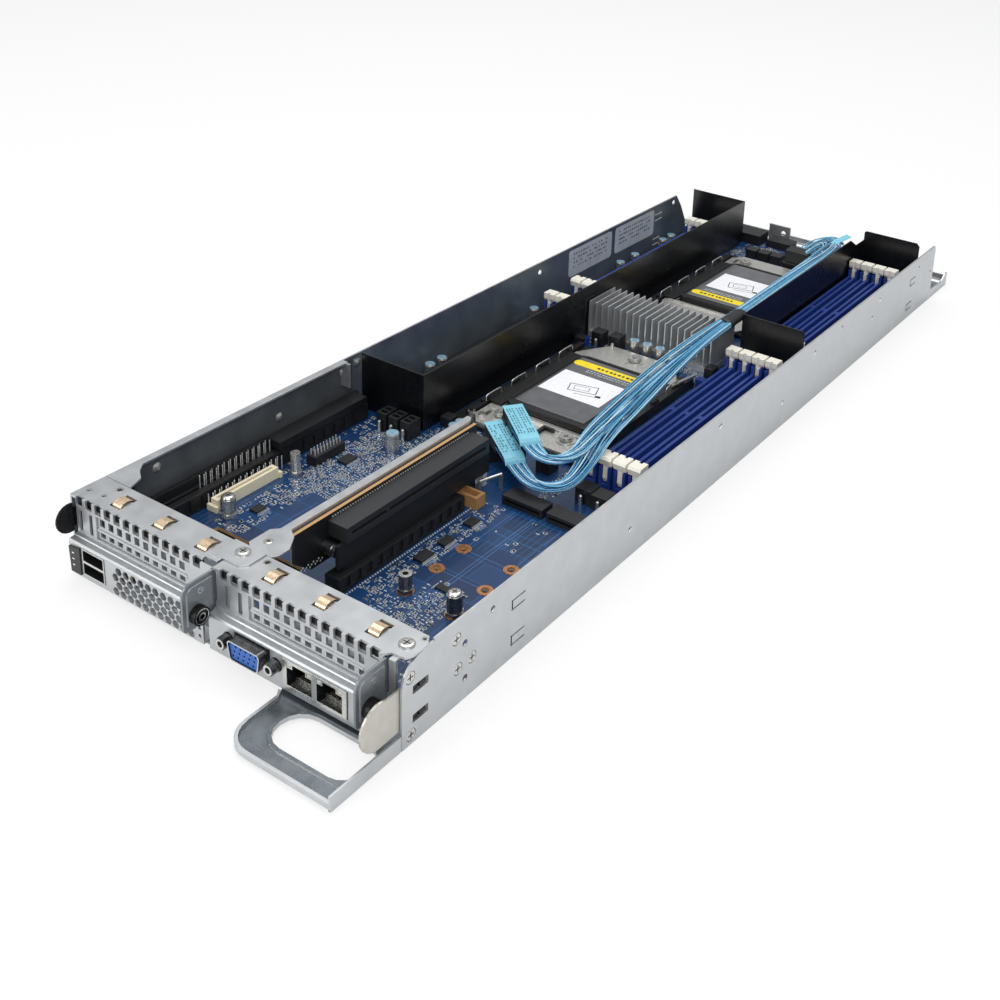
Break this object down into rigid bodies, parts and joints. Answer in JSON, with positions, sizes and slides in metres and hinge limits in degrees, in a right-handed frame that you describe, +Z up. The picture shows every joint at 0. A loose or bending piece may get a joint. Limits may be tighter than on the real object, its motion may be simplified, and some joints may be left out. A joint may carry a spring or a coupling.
{
  "type": "server node sled",
  "caption": "Half-width 1U server node on a steel tray: board with two processor sockets, memory slots, risers, air baffles, cable loom and front ports.",
  "frame": {"origin": "centre of the sled's footprint, on the underside of the tray", "axes": "+X to the right seen from the ports, +Y from the ports to the tail, +Z up"},
  "size_m": [0.178, 0.5858, 0.0387],
  "materials": {
    "sheet_steel": "satin",
    "spring_gilt": "satin",
    "grey_plastic": "matte",
    "black_screw": "satin",
    "champagne": "satin",
    "dark_tab": "satin",
    "handle_grey": "satin",
    "board_blue": "gloss",
    "brass_stand": "satin",
    "port_shell": "polished",
    "port_blue": "matte",
    "black_plastic": "matte",
    "ivory_plastic": "satin",
    "tan_plastic": "satin",
    "cap_cans": "satin",
    "stamped_steel": "satin",
    "cap_cover": "satin",
    "fin_aluminium": "satin",
    "slot_blue": "satin",
    "baffle_black": "matte",
    "cable_blue": "satin"
  },
  "bodies": {
    "sled": {"tray_base": "sheet_steel", "vent_panel": "sheet_steel", "io_panel": "sheet_steel", "left_slot_frame": "sheet_steel", "right_slot_frame": "sheet_steel", "left_slot_cover": "sheet_steel", "right_slot_cover": "sheet_steel", "riser_bracket": "sheet_steel", "contact_fingers": "spring_gilt", "left_retainer": "grey_plastic", "right_retainer": "grey_plastic", "pull_handle": "handle_grey", "motherboard": "board_blue", "riser_card": "board_blue", "board_standoffs": "brass_stand", "module_posts": "brass_stand", "vga_shell": "port_shell", "vga_posts": "port_shell", "lan_jack": "port_shell", "usb_stack": "port_shell", "vga_insert": "port_blue", "lan_insert": "black_plastic", "legend_strip": "black_plastic", "riser_slot": "black_plastic", "riser_socket": "black_plastic", "left_riser_socket": "black_plastic", "power_headers": "black_plastic", "card_connectors": "black_plastic", "choke_blocks": "black_plastic", "socket_bases": "black_plastic", "cable_strap": "black_plastic", "rear_connectors": "black_plastic", "pale_header": "ivory_plastic", "brown_connector": "tan_plastic", "capacitors": "cap_cans", "load_frames": "stamped_steel", "socket_screws": "stamped_steel", "machine_screws": "stamped_steel", "rear_bracket": "stamped_steel", "socket_caps": "cap_cover", "vrm_heatsink": "fin_aluminium", "memory_sockets_right": "slot_blue", "memory_sockets_left": "slot_blue", "left_baffle": "baffle_black", "right_baffle": "baffle_black", "cable_front": "cable_blue", "cable_back": "cable_blue", "cable_plugs": "cable_blue"},
    "left_thumbscrew_body": {"left_thumbscrew": "black_screw"},
    "right_thumbscrew_body": {"right_thumbscrew": "black_screw"},
    "release_lever_body": {"release_lever": "champagne"},
    "release_tab_body": {"release_tab": "dark_tab"},
    "latches_right_front_near_body": {"latches_right_front_near": "ivory_plastic"},
    "latches_right_front_far_body": {"latches_right_front_far": "ivory_plastic"},
    "latches_right_rear_near_body": {"latches_right_rear_near": "ivory_plastic"},
    "latches_right_rear_far_body": {"latches_right_rear_far": "ivory_plastic"},
    "latches_left_front_near_body": {"latches_left_front_near": "ivory_plastic"},
    "latches_left_front_far_body": {"latches_left_front_far": "ivory_plastic"},
    "latches_left_rear_near_body": {"latches_left_rear_near": "ivory_plastic"},
    "latches_left_rear_far_body": {"latches_left_rear_far": "ivory_plastic"}
  },
  "joints": [
    {"name": "left_thumbscrew_turn", "type": "hinge", "parent": "sled", "child": "left_thumbscrew_body", "pos_m": [-0.0047, -0.266, 0.0216], "axis": [1, 0, 0], "continuous": true},
    {"name": "right_thumbscrew_turn", "type": "hinge", "parent": "sled", "child": "right_thumbscrew_body", "pos_m": [0.0814, -0.266, 0.0216], "axis": [1, 0, 0], "continuous": true},
    {"name": "release_lever_flex", "type": "hinge", "parent": "sled", "child": "release_lever_body", "pos_m": [0.0873, -0.2265, 0.02], "axis": [0, 0, 1], "range_deg": [-2, 0], "stiffness_Nm_per_rad": 0.6, "springref_deg": 0.57},
    {"name": "release_tab_flex", "type": "hinge", "parent": "sled", "child": "release_tab_body", "pos_m": [-0.08735, -0.229, 0.026], "axis": [0, 0, 1], "range_deg": [0, 2], "stiffness_Nm_per_rad": 0.6, "springref_deg": -0.57},
    {"name": "latches_right_front_near_swing", "type": "hinge", "parent": "sled", "child": "latches_right_front_near_body", "pos_m": [0.0594, -0.0729, 0.0122], "axis": [1, 0, 0], "range_deg": [0, 20]},
    {"name": "latches_right_front_far_swing", "type": "hinge", "parent": "sled", "child": "latches_right_front_far_body", "pos_m": [0.0594, 0.0669, 0.0122], "axis": [1, 0, 0], "range_deg": [-20, 0]},
    {"name": "latches_right_rear_near_swing", "type": "hinge", "parent": "sled", "child": "latches_right_rear_near_body", "pos_m": [0.0594, 0.0951, 0.0122], "axis": [1, 0, 0], "range_deg": [0, 20]},
    {"name": "latches_right_rear_far_swing", "type": "hinge", "parent": "sled", "child": "latches_right_rear_far_body", "pos_m": [0.0594, 0.2349, 0.0122], "axis": [1, 0, 0], "range_deg": [-20, 0]},
    {"name": "latches_left_front_near_swing", "type": "hinge", "parent": "sled", "child": "latches_left_front_near_body", "pos_m": [-0.0625, -0.0729, 0.0122], "axis": [1, 0, 0], "range_deg": [0, 20]},
    {"name": "latches_left_front_far_swing", "type": "hinge", "parent": "sled", "child": "latches_left_front_far_body", "pos_m": [-0.0625, 0.0669, 0.0122], "axis": [1, 0, 0], "range_deg": [-20, 0]},
    {"name": "latches_left_rear_near_swing", "type": "hinge", "parent": "sled", "child": "latches_left_rear_near_body", "pos_m": [-0.0625, 0.0951, 0.0122], "axis": [1, 0, 0], "range_deg": [0, 20]},
    {"name": "latches_left_rear_far_swing", "type": "hinge", "parent": "sled", "child": "latches_left_rear_far_body", "pos_m": [-0.0625, 0.2349, 0.0122], "axis": [1, 0, 0], "range_deg": [-20, 0]}
  ]
}
